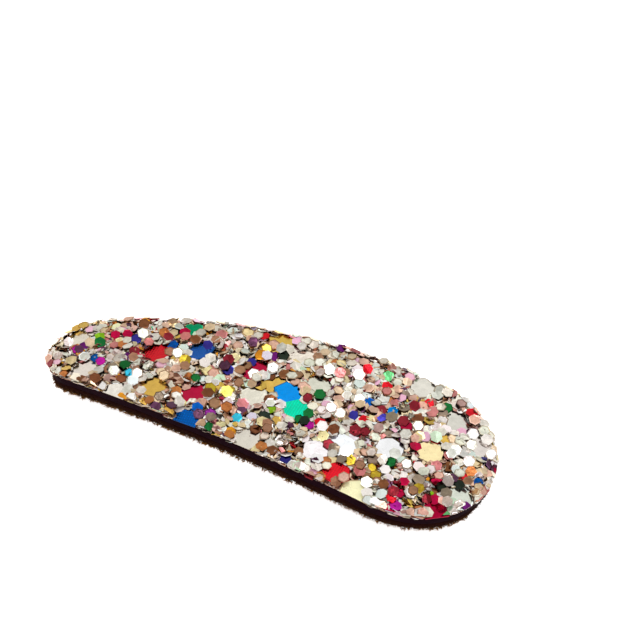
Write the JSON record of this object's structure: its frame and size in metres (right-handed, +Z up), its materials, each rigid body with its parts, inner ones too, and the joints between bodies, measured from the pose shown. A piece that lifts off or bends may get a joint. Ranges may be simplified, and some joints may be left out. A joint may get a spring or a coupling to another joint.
{
  "type": "snap hair clip",
  "caption": "Drop-shaped snap hair clip, closed: a sprung steel clip between a felt backing and a chunky glitter cloth, arched to follow the head.",
  "frame": {"origin": "on the surface that the clip rests on, under the middle of its box", "axes": "+X along the clip from its narrow end to its wide end, +Z up, away from the head"},
  "size_m": [0.0586, 0.0218, 0.0072],
  "materials": {
    "glitter": "metallised hexagonal film flakes in silver, champagne, gold and mixed bright colours",
    "cloth": "dark coated knit, smooth at the cut edge",
    "felt": "dark brown craft felt, fuzzy at the cut edge",
    "steel": "bright nickel-plated sheet steel"
  },
  "bodies": {
    "root": {"glitter_layer": "glitter", "base_cloth": "cloth", "felt_backing": "felt", "snap_clip": "steel"}
  },
  "joints": []
}
